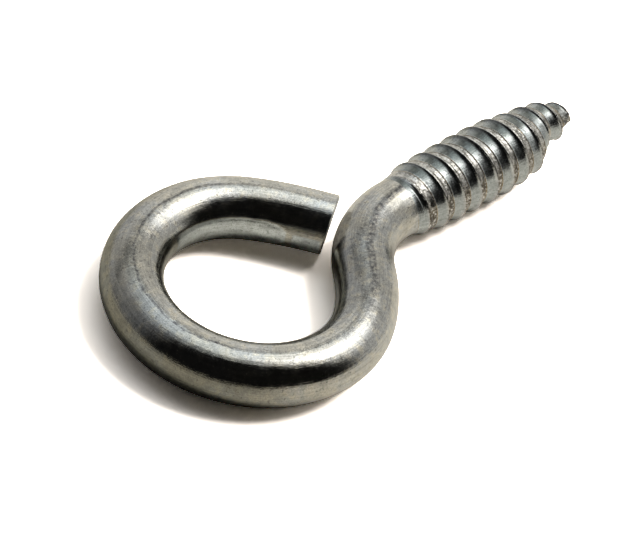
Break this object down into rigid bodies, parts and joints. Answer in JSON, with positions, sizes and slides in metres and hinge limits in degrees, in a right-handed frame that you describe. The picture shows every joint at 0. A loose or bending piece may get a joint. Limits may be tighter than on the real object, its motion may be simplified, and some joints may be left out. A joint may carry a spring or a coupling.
{
  "type": "screw-in eye bolt",
  "caption": "Round wire bent into a nearly closed eye, with an offset neck and a coarse wood-screw thread that ends in a gimlet point.",
  "frame": {"origin": "centre of the eye's opening, in the middle plane of the wire", "axes": "+X along the shank towards its point, +Z square to the plane of the eye, +Y across the eye"},
  "size_m": [0.0774, 0.0376, 0.0102],
  "materials": {
    "zinc_wire": "bright zinc plate over drawn and bent steel wire",
    "rolled_thread": "bright zinc plate with a faint blue and yellow cast over a rolled thread",
    "rough_point": "lumpy zinc plate over a pinched point"
  },
  "bodies": {
    "root": {"eye_loop": "zinc_wire", "free_end": "zinc_wire", "neck_bend": "zinc_wire", "thread_runout": "rolled_thread", "lag_thread": "rolled_thread", "screw_point": "rough_point"}
  },
  "joints": []
}
